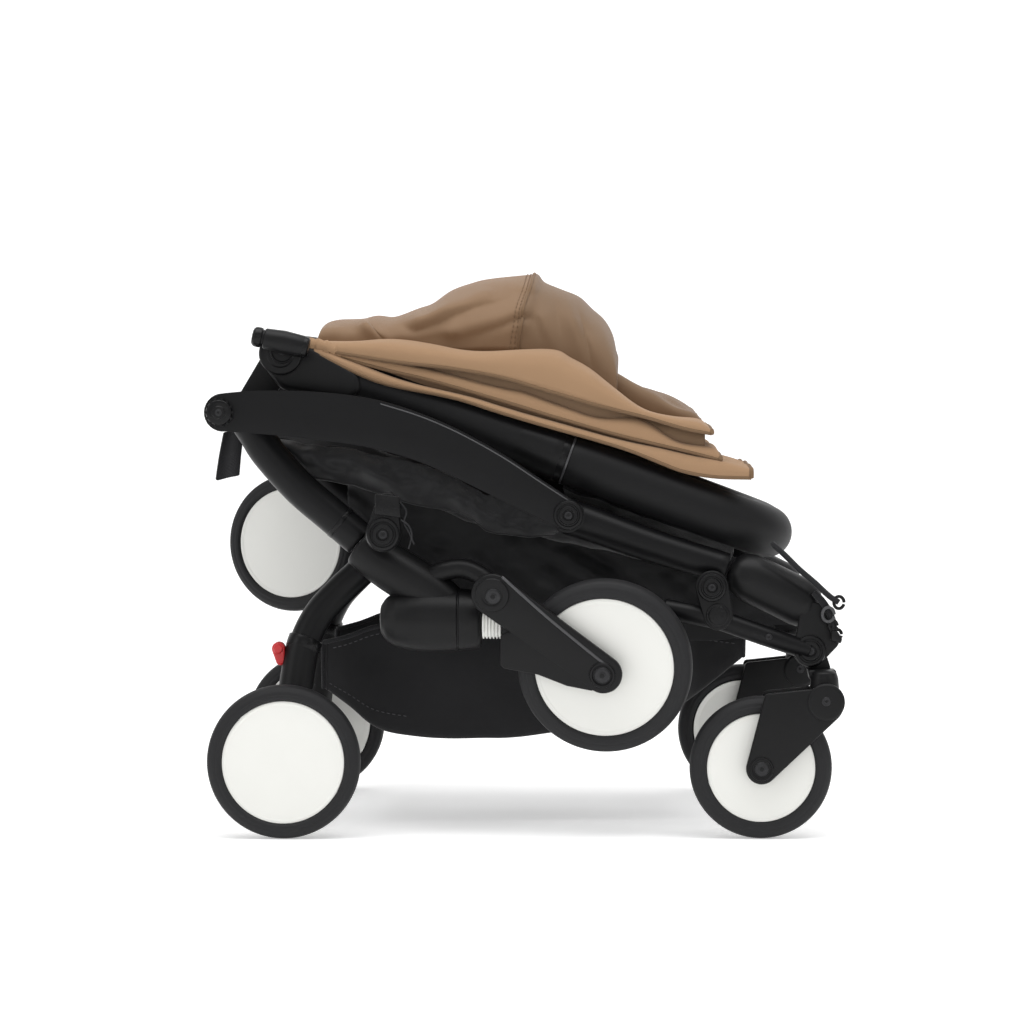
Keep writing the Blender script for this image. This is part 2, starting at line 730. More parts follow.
# %% Upper leg tubes, cross tubes and hinge brackets
LEG_Y = 164.0
LEG_LINE = [(-258, 384), (-246, 366), (-233, 346), (-205, 315), (-177, 291), (-150, 268)]
for side, sign in SIDES:
    leg = run_at(sign * LEG_Y, LEG_LINE, 8)
    fit(bar("leg_tube_skin_" + side, leg, 16.0, POWDER, 2.0, 56), "chassis", "leg_tube_" + side,
        slot="black_metal")
    fit(bar("leg_tube_seam_" + side, [leg[-7], leg[-6]], 16.5, GLOSS_PLASTIC, 0.5, 56), "chassis")
for name, (x, z), reach in (("rear_cross_tube", REAR_PIVOT, 147.7), ("seat_cross_tube", SEAT_PIVOT, 145.3)):
    fit(bar(name + "_skin", crossing(x, z, reach), 10.0, POWDER, 1.0), "chassis", name,
        slot="black_metal")
for side, sign in SIDES:
    fit(slab("hinge_plate_" + side, hull((BAR_PIVOT.x, BAR_PIVOT.z, 17), (-257, 389, 12)), sign * 120.0,
             sign * 130.0, PLASTIC, 1.6), "chassis", "hinge_bracket_" + side, slot="black_plastic")

# %% [markdown]
# The folding knee is a plate with a ribbed knob.  A small block sits above it, and two thin release
# wires hang loose beside it.

# %% Knee brackets with their turning knobs
KNEE_Y = {"near": (-213.0, -201.0), "far": (181.0, 193.0)}
for side, sign in SIDES:
    low, high = KNEE_Y[side]
    plate = slab("knee_plate_" + side, hull((KNEE.x, KNEE.z, 16), (-123, 303, 10)), low, high, PLASTIC,
                 2.0)
    fit(plate, "chassis", "knee_bracket_" + side, slot="black_plastic")
    outer = low if sign < 0 else high
    rosette("knee_knob_" + side, (KNEE.x, outer, KNEE.z), (0, sign, 0), 15.2, "chassis", 4.4)
    block = [(-134, 293), (-111, 290), (-112, 309), (-134, 312)]
    fit(slab("knee_block_" + side, block, outer - sign * 2, outer + sign * 2.5, GLOSS_PLASTIC,
             1.2), "chassis")
fit(bar("stow_boss_skin", [(STOW_PIVOT.x, y, STOW_PIVOT.z) for y in (180.3, 200, 221)], 8.0, PLASTIC,
        0.8), "chassis", "stow_boss", slot="black_metal")
WIRES = {"upper": [(-112, -211, 304), (-106, -212, 296), (-108, -212, 286), (-103, -212, 276),
                   (-99, -211, 266)], "lower": [(-111, -212, 288), (-104, -212.5, 283), (-101, -212, 274),
                                                (-104, -211, 262)]}
for label, knots in WIRES.items():
    fit(bar("knee_wire_" + label, smooth_path(knots, 6), 0.9, STEEL, 0.3, 10), "chassis")

# %% [markdown]
# The front tubes run forward from the arches into thick moulded sleeves.  A lug, a link and a pivot
# plate tie them to the caster brackets below.

# %% Front tubes, sleeves, lugs, links and pivot plates
LUG_TOP = (169.5, 226.5)
LUG_FOOT = (175.0, 201.0)
TUBE_LINE = [(38.6, 290), (60, 283), (104, 267), (141, 255), (184, 242)]
SLEEVE_LINE = [(187, 243), (200, 236.5), (228, 223), (248, 213), (265, 204)]
for side, sign in SIDES:
    path = run_at(sign * 160.0, TUBE_LINE, 6)
    sizes = [17.0 - 2.6 * k / (len(path) - 1) for k in range(len(path))]
    fit(bar("front_tube_skin_" + side, path, sizes, POWDER, 1.5, 48), "chassis", "front_tube_" + side,
        slot="black_metal")
    path = run_at(sign * 165.0, SLEEVE_LINE, 6)
    sizes = [20.6 + 1.6 * min(1.0, k / 10) for k in range(len(path))]
    fit(bar("front_sleeve_skin_" + side, path, sizes, PLASTIC, 15.0, 64), "chassis",
        "front_sleeve_" + side, slot="black_plastic")
    outer = sign * 190.0
    fit(slab("front_lug_plate_" + side, hull((*LUG_TOP, 15), (*LUG_FOOT, 13.5)), sign * 184.0,
             sign * 190.0, PLASTIC, 1.4), "chassis", "front_lug_" + side, slot="black_plastic")
    rosette("front_lug_cover_" + side, (LUG_TOP[0], outer, LUG_TOP[1]), (0, sign, 0), 13.2, "chassis",
            3.4)
    low_knob = [(0, 2.2), (8.0, 2.2), (8.6, 1.2), (10.6, 1.0), (11.4, -1.5), (0, -1.5)]
    fit(turned("front_lug_button_" + side, low_knob, (LUG_FOOT[0], outer, LUG_FOOT[1]), (0, sign, 0),
               GLOSS_PLASTIC, 48, 0.5), "chassis")
    ends = [(x, sign * 180.5, z) for x, z in ((126, 207), (LUG_FOOT[0], 197.0), (216, 182.7),
                                              (BRACKET_PIVOT.x, BRACKET_PIVOT.z))]
    fit(bar("front_link_bar_" + side, ends, 9.2, POWDER, 2.0), "chassis", "front_link_" + side,
        slot="black_metal")
    bolt("front_link_rivet_" + side, (221, sign * 189.2, 181.5), (0, sign, 0), 3.2, "chassis", 1.6)
    outline = hull((262, 200, 13), (BRACKET_PIVOT.x, BRACKET_PIVOT.z, 15), (276, 178, 9))
    fit(slab("pivot_plate_skin_" + side, outline, sign * 178.0, sign * 184.4, PLASTIC, 1.4), "chassis",
        "pivot_plate_" + side, slot="black_plastic")
    rosette("pivot_plate_cover_" + side, (BRACKET_PIVOT.x, sign * 184.4, BRACKET_PIVOT.z), (0, sign, 0),
            14.4, "chassis", 3.2)

# %% [markdown]
# ## Push bar
# The bar swings on two hubs by the rear corners and lies along the frame.  Its arms are metal tube; the
# U of the grip is thicker, covered in a soft sleeve with a seam ring where it meets the tube.

# %% Push bar
SLOPE = math.radians(-20.3)
BAR_Y = 148.0


def bar_point(along, y):
    return Vector((BAR_PIVOT.x + along * math.cos(SLOPE), y, BAR_PIVOT.z + along * math.sin(SLOPE)))


BAR_RINGS = (("bar_groove_", (257.0, 258.5, 260.0), 21.0, GLOSS_PLASTIC, 0.5),
             ("bar_sleeve_", (259.6, 264.0, 268.6), 23.0, GRIP, 1.2),
             ("bar_seam_ring_", (268.0, 272.0, 277.6), 23.2, GLOSS_PLASTIC, 0.8),
             ("bar_seam_line_", (277.4, 278.4, 279.4), 24.1, EDGE_SHINE, 0.5),
             ("bar_sleeve_", (196.0, 210.0, 236.0, 262.0, 271.0), [18.0, 20.5, 22.5, 23.6, 23.8], PLASTIC,
              2.0))
for side, sign in SIDES:
    hub = [(0, 22), (12, 22), (13, 20.5), (18.5, 20.2), (19.8, 18.5), (19.8, -21), (18, -22), (0, -22)]
    fit(turned("bar_hub_skin_" + side, hub, (BAR_PIVOT.x, sign * 156.0, BAR_PIVOT.z), (0, sign, 0),
               PLASTIC, 72, 1.6), "push_bar", "bar_hub_" + side, slot="black_plastic")
    cheek = hull((BAR_PIVOT.x, BAR_PIVOT.z, 19.6), (BAR_PIVOT.x + 10, BAR_PIVOT.z - 16, 18.5),
                 (BAR_PIVOT.x + 58, BAR_PIVOT.z - 28, 15.0))
    fit(slab("bar_cheek_" + side, cheek, sign * 139.0, sign * 171.0, PLASTIC, 6.0), "push_bar")
    dip = [(0, 0.6), (9.0, 0.6), (10.2, 1.4), (11.4, 0.6), (11.6, -0.8), (0, -0.8)]
    fit(turned("bar_hub_dish_" + side, dip, (BAR_PIVOT.x + 2, sign * 178.0, BAR_PIVOT.z + 2),
               (0, sign, 0), GLOSS_PLASTIC, 56, 0.4), "push_bar")
    bolt("bar_hub_screw_" + side, (BAR_PIVOT.x + 2, sign * 178.8, BAR_PIVOT.z + 2), (0, sign, 0), 3.6,
         "push_bar", 1.2)
    path = [bar_point(21 + 257 * k / 24, sign * BAR_Y) for k in range(25)]
    fit(bar("bar_arm_skin_" + side, path, 17.0, POWDER, 1.0, 56), "push_bar", "bar_arm_" + side,
        slot="black_metal")
    cover = [bar_point(14 + 244 * k / 36, sign * BAR_Y) for k in range(37)]
    sizes = [19.2 + 2.8 * min(1.0, k / 30) for k in range(37)]
    fit(bar("bar_cover_" + side, cover, sizes, GRIP, 3.0, 64), "push_bar")
    for name, places, size, surface, round_end in BAR_RINGS:
        ring = [bar_point(along, sign * BAR_Y) for along in places]
        fit(bar(name + side, ring, size, surface, round_end, 56), "push_bar")

CORNER = 62.0
LENGTH = 475.0
grip_path = []
for along in range(279, int(LENGTH - CORNER), 12):
    grip_path.append(bar_point(along, -BAR_Y))
for k in range(17):
    turn = math.pi / 2 * k / 16
    grip_path.append(bar_point(LENGTH - CORNER + CORNER * math.sin(turn),
                               -BAR_Y + CORNER * (1 - math.cos(turn))))
for k in range(1, 12):
    grip_path.append(bar_point(LENGTH, (CORNER - BAR_Y) * (1 - k / 6)))
mirror = [Vector((point.x, -point.y, point.z)) for point in grip_path[:-11]]
grip_path += mirror[::-1]
fit(bar("grip_sleeve", grip_path, 23.9, GRIP, 2.0, 64), "push_bar", "bar_grip", slot="grip_foam")
print("grip points", len(grip_path))

# %% [markdown]
# ## Legs and basket frame
# The rear legs come down from the knee to the axle.  A straight sleeve covers the lower half of each,
# and a red pedal on it works the brake.

# %% Rear legs, axle and brake
for side, sign in SIDES:
    knots = [(-131, sign * 134, 268), (-147, sign * 134, 243), (-170, sign * 136, 221),
             (-190, sign * 141, 199), (-203, sign * 148, 172), (-209, sign * 156, 140),
             (-213, sign * 163, 105), (-218, sign * 168, 62)]
    path = smooth_path(knots, 6)
    fit(bar("rear_leg_skin_" + side, path, 14.0, POWDER, 2.0, 48), "rear_legs", "rear_leg_" + side,
        slot="black_metal")
    lower = path[24:41]
    fit(bar("rear_leg_sleeve_" + side, lower, 15.6, PLASTIC, 1.2, 48), "rear_legs")
    fit(bar("rear_leg_ring_" + side, path[23:26], 15.9, GLOSS_PLASTIC, 0.8, 48), "rear_legs")
fit(bar("rear_axle_skin", crossing(REAR_AXLE.x, REAR_AXLE.z, 149), 9.0, POWDER, 1.0), "rear_legs",
    "rear_axle", slot="black_metal")
fit(bar("rear_pivot_skin", crossing(KNEE.x, KNEE.z, 119.5), 8.0, POWDER, 1.0), "rear_legs",
    "rear_pivot_tube", slot="black_metal")
pedal = slab("brake_pedal_skin", hull((-226, 168, 6.0), (-224, 157, 4.2)), -158, -142.5, RED, 2.0)
fit(pedal, "brake", "brake_pedal", slot="red_plastic")
fit(turned("brake_pedal_button", [(0, 2.2), (3.6, 2.0), (4.4, 0.6), (4.4, -1.5), (0, -1.5)],
           (-226, -158, 168), (0, -1, 0), RED, 32, 0.5), "brake")

# %% [markdown]
# ## Sprung leg
# A moulded knee piece drops from the near bracket into a thick barrel.  A white ribbed spring works
# between its collar and the fork that carries the large middle wheel.

# %% Knee body
sleeve = smooth_path([(-150, -170, 264), (-126, -173, 246), (-102, -175, 231), (-80, -176, 217),
                      (-64, -176, 206)], 10)
last = len(sleeve) - 1
sizes = [19.4 + 2.6 * math.sin(math.pi * min(1.0, k / last)) - 2.0 * (k / last) ** 3
         for k in range(last + 1)]
knee = bar("knee_sleeve", sleeve, sizes, PLASTIC, 2.5, 64)
fit(knee, "mid_leg", "knee_body", slot="black_plastic")
barrel = [(0, 93), (23.5, 93), (26.0, 90), (27.4, 82), (28.2, 72.6), (27.2, 72.0), (27.2, 71.0),
          (28.4, 70.4), (29.4, 52), (29.0, 38), (27.6, 26), (24.6, 14), (19.5, 6), (12, 1), (0, 0)]
fit(turned("knee_barrel", barrel, (-132, -176, 196.5), (1, 0, 0), PLASTIC, 96, 2.4), "mid_leg")
neck = smooth_path([(-90, -180, 234), (-72, -184, 241), (-56, -186, 243), (-42, -188, 238),
                    (-30, -190, 229)], 6)
fit(bar("knee_neck", neck, 9.0, PLASTIC, 3.0, 40), "mid_leg")
fit(bar("knee_lug", [(FORK_PIVOT.x, y, FORK_PIVOT.z) for y in (-219.4, -200, -178)], 11.0, PLASTIC, 1.0),
    "mid_leg")

# %% [markdown]
# The spring's rubber boot is one turned piece: six ribs between two flat ends.

# %% Ribbed spring
ribs = []
for k in range(6):
    middle = 1.4 + 3.05 * k
    ribs += [(10.6, middle - 1.2), (12.4, middle - 0.5), (12.4, middle + 0.5), (10.6, middle + 1.2)]
spring = [(0, 0)] + ribs + [(0, 18.6)]
fit(turned("spring_boot", spring, (-38.5, -190, 192), (1, 0, 0), WHITE, 64, 0.5), "mid_leg",
    "suspension_spring", slot="white_spring")

# %% [markdown]
# The fork is a plate that leans outward a little, so every piece on it turns with the same lean.  A fin
# fills the corner below it, and a raised cover and a washer ring its two pivots.

# %% Fork of the middle wheel
fork_line = Vector((FORK_PIVOT.x - MID_WHEEL.x, 0.0, FORK_PIVOT.z - MID_WHEEL.z)).normalized()
lean = Matrix.Rotation(math.radians(-9.0), 3, fork_line)
middle = MID_WHEEL.y - 21.5
plate = slab("mid_fork_plate", hull((FORK_PIVOT.x, FORK_PIVOT.z, 19),
                                    (MID_WHEEL.x, MID_WHEEL.z - 4.0, 17.2)), middle - 3.5, middle + 3.5,
             PLASTIC, 2.2, lean, MID_WHEEL)
fit(plate, "suspension_arm", "mid_fork", slot="black_plastic")
fin = [(-19.5, 188), (-19.5, 160), (-16, 157), (14, 152), (40, 142), (64, 137.5), (62, 150), (0, 196)]
fit(slab("mid_fork_fin", fin, middle - 3.0, middle + 2.6, PLASTIC, 2.0, lean, MID_WHEEL),
    "suspension_arm")
fit(slab("mid_fork_stop", [(-19.5, 205), (-19.5, 176), (-8, 176), (-8, 205)], -222, -178, PLASTIC, 1.6),
    "suspension_arm")


def on_fork(x, z, lift):
    return lean @ (Vector((x, middle - 3.5 - lift, z)) - MID_WHEEL) + MID_WHEEL


fork_out = lean @ Vector((0, -1, 0))
raised = [(0, 1.0), (9.0, 1.0), (10.0, 1.6), (14.6, 1.6), (15.4, 0.4), (15.4, -1.0), (0, -1.0)]
fit(turned("mid_fork_cover", raised, on_fork(FORK_PIVOT.x, FORK_PIVOT.z, 0), fork_out, PLASTIC, 64, 0.4),
    "suspension_arm")
bolt("mid_fork_screw", on_fork(FORK_PIVOT.x + 1, FORK_PIVOT.z - 1, 1.0), fork_out, 7.0, "suspension_arm",
     2.0)
dish = [(0, 0.7), (8.6, 0.7), (9.4, 1.8), (11.0, 1.8), (11.8, 0.6), (11.8, -1.0), (0, -1.0)]
fit(turned("mid_axle_washer", dish, on_fork(MID_WHEEL.x - 0.5, MID_WHEEL.z - 4.0, 0), fork_out,
           GLOSS_PLASTIC, 64, 0.4), "suspension_arm")
bolt("mid_axle_bolt", on_fork(MID_WHEEL.x - 0.5, MID_WHEEL.z - 4.0, 0.8), fork_out, 7.4, "suspension_arm",
     2.4)
rail = [(FORK_PIVOT.x + 9, FORK_PIVOT.z + 16.6), (20, 207.6), (50, 182.6), (79, 159.2)]
line = [on_fork(x, z, -0.6) for x, z in rail]
fit(bar("mid_fork_rib", smooth_path(line, 4), 1.4, EDGE_SHINE, 0.5, 14), "suspension_arm")

# %% [markdown]
# On the far side a second wheel is folded up behind the frame.  Its arm is yawed to lie along the wheel.

# %% Arm of the stowed wheel
yaw = Matrix.Rotation(math.radians(-20.0), 3, "Z")
plate = slab("stow_arm_plate", hull((STOW_PIVOT.x, STOW_PIVOT.z, 12.5),
                                    (STOWED_WHEEL.x, STOWED_WHEEL.z, 12.5)), STOWED_WHEEL.y + 17.0,
             STOWED_WHEEL.y + 24.0, PLASTIC, 2.0, yaw, STOWED_WHEEL)
fit(plate, "swing_arm", "stow_arm", slot="black_plastic")
arm_out = yaw @ Vector((0, 1, 0))
bolt("stow_axle_bolt", yaw @ Vector((0, 24.2, 0)) + STOWED_WHEEL, arm_out, 6.6, "swing_arm", 2.2)

# %% [markdown]
# ## Front casters
# Two brackets hold the caster heads.  Each fork is pressed sheet: a broad triangle with rounded
# corners that wraps over the wheel, and a round lobe at its top.

# %% Casters
for side, sign in SIDES:
    outline = hull((BRACKET_PIVOT.x, BRACKET_PIVOT.z, 13.5), (268.8, 151.5, 9))
    fit(slab("caster_bracket_plate_" + side, outline, sign * 169.8, sign * 175.4, PLASTIC, 1.4),
        "caster_brackets", "caster_bracket_" + side, slot="black_plastic")
    fit(slab("caster_bracket_block_" + side, [(256, 152), (258, 142.5), (281, 142.5), (282, 152)],
             sign * 170.0, sign * 196.0, PLASTIC, 2.0), "caster_brackets")
    head = [(0, 19), (8, 19), (11, 17), (12.6, 12), (13.4, 1.2), (12.4, 0.2), (0, 0.2)]
    fit(turned("caster_head_" + side, head, (270.8, sign * 196, 132.8), (0, 0, 1), PLASTIC, 64, 1.0),
        "caster_brackets")
    axle = pivot("caster_wheel_spin_" + side)
    shape = hull((axle.x, axle.z, 14.0), (219.5, 128.5, 3.6), (270.8, 121.5, 16.0))
    for part, shift in (("inner", 18.0), ("outer", -18.0)):
        middle_y = axle.y + shift
        flank = slab("caster_fork_%s_%s" % (part, side), shape, middle_y - 2.5, middle_y + 2.5, PLASTIC,
                     1.6)
        fit(flank, "fork_" + side, *(["caster_fork_" + side] if part == "inner" else []))
    roof = slab("caster_fork_roof_" + side, [(262, 131.6), (262, 117), (284, 117), (284, 131.6)],
                axle.y - 20, axle.y + 20, PLASTIC, 2.0)
    fit(roof, "fork_" + side)
    lobe = [(0, 2.4), (14.6, 2.4), (16.8, 1.0), (17.0, -2.0), (0, -2.0)]
    fit(turned("caster_lobe_" + side, lobe, (271.2, axle.y - 20.0, 124.5), (0, -1, 0), PLASTIC, 64, 0.8),
        "fork_" + side)
    bolt("caster_lobe_screw_" + side, (271.2, axle.y - 22.2, 125.5), (0, -1, 0), 4.2, "fork_" + side, 1.2)
    washer = [(0, 0.5), (8.4, 0.5), (9.0, 1.2), (10.4, 1.2), (11, -0.6), (0, -0.6)]
    for way in (-1, 1):
        end = side + ("_out" if way < 0 else "_in")
        centre = Vector((axle.x, axle.y + way * 20.6, axle.z))
        fit(turned("caster_axle_washer_" + end, washer, centre, (0, way, 0), GLOSS_PLASTIC, 56, 0.3),
            "fork_" + side)
        bolt("caster_axle_bolt_" + end, centre + Vector((0, way * 0.6, 0)), (0, way, 0), 6.4,
             "fork_" + side, 1.8)
fit(bar("bracket_bar_skin", crossing(262, 158, 169.2), 7.0, POWDER, 0.8), "caster_brackets",
    "bracket_cross_bar", slot="black_metal")

# %% [markdown]
# A short elastic cord hugs the near sleeve and ends in a cluster of rings and a small hook, which keep
# the folded stroller shut.

# %% Elastic loop with its rings and hook
loop = smooth_path([(224, -180, 266), (236, -186, 255), (248, -189, 243), (262, -190, 231),
                    (275, -191, 219), (284, -192, 213)], 6)
elastic = fit(bar("elastic_loop", loop, 2.7, WEBBING, 0.8, 16), "chassis")
route = [spot(*point) for point in loop]
route_length = sum((after - before).length for before, after in zip(route, route[1:]))
tuple(route[0])
[tuple(point) for point in route]
print("cord elastic_loop", round(route_length, 3))
RINGS = ((284, 213, 4.6, GLOSS_PLASTIC), (274.5, 202, 5.4, EDGE_SHINE), (279, 192, 3.6, GLOSS_PLASTIC),
         (283, 184, 3.6, GLOSS_PLASTIC))
for index, (x, z, size, surface) in enumerate(RINGS):
    hoop = [(x + size * math.cos(math.radians(a)), -192 + index,
             z + size * 1.2 * math.sin(math.radians(a))) for a in range(0, 350, 15)]
    fit(bar("loop_ring_%d" % index, hoop, 1.5, surface, 0.3, 12), "chassis")
strap_back = smooth_path([(262, -184, 222), (272, -186, 210), (278, -187, 198), (280, -187, 186)], 6)
fit(bar("loop_tail", strap_back, 3.4, WEBBING, 0.8, 14), "chassis")
fit(slab("loop_hook", [(277, 187), (277, 178), (286, 176), (287, 180), (283, 187)], -194, -189,
         GLOSS_PLASTIC, 1.4), "chassis")

# %% [markdown]
# ## Canopy
# The folded canopy is cloth over thin bows.  Its lower layers lie flat on the push bar; each is a panel
# with rolled sides.  A panel is lofted from two lines seen from the side, its upper edge and its hem:
# the cloth rises from the hem, turns over a soft shoulder, and crosses to the other side.

# %% Canopy panels
def panel(name, top, hem, reach, surface, start, end, waves, seed, crown, shoulder=9.0, columns=34):
    """A layer of canopy cloth between its side hems at -reach and +reach."""
    high, low = along_line(top), along_line(hem)
    rows = []
    steps = 110
    size, along, across = waves
    for row in range(steps + 1):
        x = start + (end - start) * row / steps
        z_top, z_low = high(x), low(x)
        z_low = min(z_low, z_top - 0.8)
        line = []
        side = [(-reach, z_low), (-reach - 0.8, z_low * 0.7 + z_top * 0.3),
                (-reach - 0.4, z_low * 0.35 + z_top * 0.65), (-reach + shoulder * 0.25,
                                                              z_low * 0.1 + z_top * 0.9),
                (-reach + shoulder, z_top)]
        cross = [(-reach + shoulder + (reach - shoulder) * k / columns * 2,
                  z_top + crown * math.sin(math.pi * k / columns)) for k in range(1, columns)]
        half = side + [point for point in cross if point[0] < reach - shoulder - 2]
        full = half + [(-y, z) for y, z in side[::-1]]
        for y, z in full:
            fade = min(1.0, abs(z - z_low) / 14.0 + 0.15)
            push = size * fade * ripple(x, y, z, along, across, seed)
            tilt = 0.35 if abs(y) > reach - shoulder else 0.0
            line.append(Vector((x, y + math.copysign(push * tilt, y), z + push * (1 - tilt))))
        rows.append(line)
    return fit(cloth(name, rows, surface, 1.4), "canopy_base"), rows


def edging(name, line, size):
    """A rolled binding along a line of cloth points."""
    return fit(bar(name, line, size, TAN_EDGE, 0.5, 12), "canopy_base")


LOWER_TOP = [(-190, 443), (-163, 431), (-114, 413), (-51, 397), (-24, 389), (32, 372), (88, 358),
             (144, 346), (177, 340), (206, 332)]
LOWER_HEM = [(-190, 437), (-148, 417), (-121, 408), (-66, 397), (-24, 384), (23, 370), (70, 357),
             (98, 348), (125, 337), (144, 330), (172, 325), (206, 324)]
lower, lower_rows = panel("canopy_bottom_panel", [(x, z + 1.5) for x, z in LOWER_TOP],
                          [(x, z + 1.0) for x, z in LOWER_HEM], 168.5, TAN, -192, 206,
                          waves=(1.2, 60, 40), seed=3.0, crown=2.0)
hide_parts("canopy_lower_layer")
NEXT_TOP = [(-190, 446), (-129, 434), (-87, 424), (-24, 408), (0, 404), (32, 392), (66, 380), (107, 378),
            (139, 358), (172, 352), (178, 344)]
NEXT_HEM = [(-190, 440), (-129, 424), (-87, 414), (-24, 396), (32, 379), (88, 363), (144, 350),
            (178, 341)]
second, second_rows = panel("canopy_second_panel", NEXT_TOP, NEXT_HEM, 163.0, TAN, -190, 178,
                            waves=(1.5, 55, 40), seed=11.0, crown=3.0)
UPPER_TOP = [(-196, 449), (-167, 449), (-129, 450), (-87, 446), (-51, 442), (21, 441), (41, 433),
             (60, 423), (81, 407), (107, 388), (135, 380), (159, 376), (170, 368)]
UPPER_HEM = [(-196, 441), (-179, 440), (-115, 430), (-69, 425), (-24, 417), (14, 406), (66, 391),
             (107, 381), (144, 370), (170, 365)]
upper, upper_rows = panel("canopy_upper_panel", UPPER_TOP, UPPER_HEM, 166.0, TAN, -196, 170,
                          waves=(1.8, 75, 50), seed=7.0, crown=3.0, shoulder=22.0)
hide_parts("canopy_middle_layer")
inner, inner_rows = panel("canopy_inner_folds", [(x, z - 5) for x, z in UPPER_TOP],
                          [(x, z - 3) for x, z in LOWER_TOP], 157.0, TAN_DARK, -186, 164,
                          waves=(1.5, 30, 30), seed=23.0, crown=1.0)
olive_rows_top = [(60, 424), (82, 418), (107, 406), (127, 398), (153, 386), (162, 377)]
olive_rows_hem = [(60, 404), (82, 398), (107, 386), (127, 380), (153, 372), (162, 369)]
lining, lining_rows = panel("canopy_lining_fold", olive_rows_top, olive_rows_hem, 96.0, TAN_DARK, 56, 163,
                            waves=(4.0, 40, 30), seed=19.0, crown=2.0)
LAYERS = (("bottom", lower, lower_rows), ("second", second, second_rows), ("upper", upper, upper_rows))
for label, sheet, rows in LAYERS:
    trim = [edging("canopy_%s_piping_near" % label, [row[0] for row in rows[::2]], 1.8),
            edging("canopy_%s_piping_far" % label, [row[-1] for row in rows[::2]], 1.8),
            edging("canopy_%s_front_roll" % label, rows[-1], 2.2)]
    for seam_index, share in enumerate((0.42,) if label != "upper" else (0.3, 0.36)):
        line = [row[0].lerp(row[4], share) + Vector((0, -1.2, 0)) for row in rows[::2]]
        trim.append(fit(stitches("canopy_%s_stitch_%d" % (label, seam_index), line, TAN_EDGE),
                        "canopy_base"))
    cut_from(sheet, rows)
cut_from(inner, inner_rows)
cut_from(lining, lining_rows)

# %% [markdown]
# The hood is the part that shades the child.  Folded, it slumps over its bow: a soft heap to the left
# of one seam and a smooth, darker panel pulled over the bow to the right.

# %% Hood
HOOD_TOP = [(-192, 452), (-189, 466), (-178, 471), (-155, 472), (-141, 475), (-124, 474), (-102, 482),
            (-88, 487), (-71, 499), (-52, 506), (-35, 510), (4, 514), (10, 514.5), (16, 507), (32, 500),
            (49, 493), (61, 482), (73, 471), (81, 456), (84, 440)]
hood_height = along_line(HOOD_TOP)
HOOD_BASE = [(-196, 447), (-150, 448), (-60, 441), (14, 439), (66, 416), (84, 402)]
hood_floor = along_line(HOOD_BASE)
HOOD_REACH = 119.0
# Each fold runs from one place to another in X and Z; then come its height and its width.
HOOD_FOLDS = [((-158, 474), (-135, 450), 4.5, 6.0), ((-149, 474), (-126, 450), -5.0, 4.5),
              ((-100, 466), (-40, 495), 6.0, 9.0), ((-118, 452), (-66, 462), -4.5, 7.0),
              ((-66, 458), (-2, 482), -7.0, 9.0), ((-52, 444), (-4, 462), 5.5, 7.0),
              ((-30, 508), (4, 500), 2.5, 7.0), ((18, 474), (27, 430), -4.5, 7.0),
              ((34, 500), (52, 430), 4.5, 8.0), ((62, 478), (66, 425), -3.0, 7.0)]


def fold_push(x, z):
    """How far the folds lift or sink the cloth at a place seen from the side."""
    total = 0.0
    for (ax, az), (bx, bz), height, width in HOOD_FOLDS:
        run = Vector((bx - ax, bz - az))
        share = max(0.0, min(1.0, (Vector((x - ax, z - az))).dot(run) / run.length_squared))
        away = Vector((x - ax - run.x * share, z - az - run.y * share)).length
        total += 2.1 * height * math.exp(-(away / width) ** 2)
    return total


def hood_point(x, turn, seed, fold):
    """A point over the hood: turn runs from 0 on the near side over the top to 1 on the far side."""
    angle = math.pi * turn
    z_low, z_top = hood_floor(x), hood_height(x)
    across = -math.cos(angle)
    lift = math.sin(angle)
    y = HOOD_REACH * math.copysign(abs(across) ** 0.75, across)
    z = z_low + (z_top - z_low) * lift ** 0.62
    swing = max(0.0, math.sin(math.pi * (x + 193) / 276.5)) ** 0.7
    shifted = x - 17.0 * swing * (1 - lift) ** 1.2
    soft = min(1.0, lift * 2.2) * (1 - 0.85 * lift ** 6)
    slant = x + 0.9 * z
    crease = ripple(slant, y, x * 0.35, 34.0, 90.0, seed)
    small = ripple(x, y * 0.6, z * 1.2, 16.0, 40.0, seed + 5)
    push = soft * (fold * (crease * 2.6 + small * 0.9) + fold_push(shifted, z))
    return Vector((shifted + push * 0.15, y + math.copysign(push * 0.9, y) * (1 - lift * 0.6),
                   z + push * 0.45 * (1 - lift)))


def hood_piece(name, start, end, seed, fold, surface, steps):
    rows = []
    for row in range(steps + 1):
        x = start + (end - start) * row / steps
        rows.append([hood_point(x, k / 80, seed, fold) for k in range(81)])
    return fit(cloth(name, rows, surface, 1.4), "canopy_top"), rows


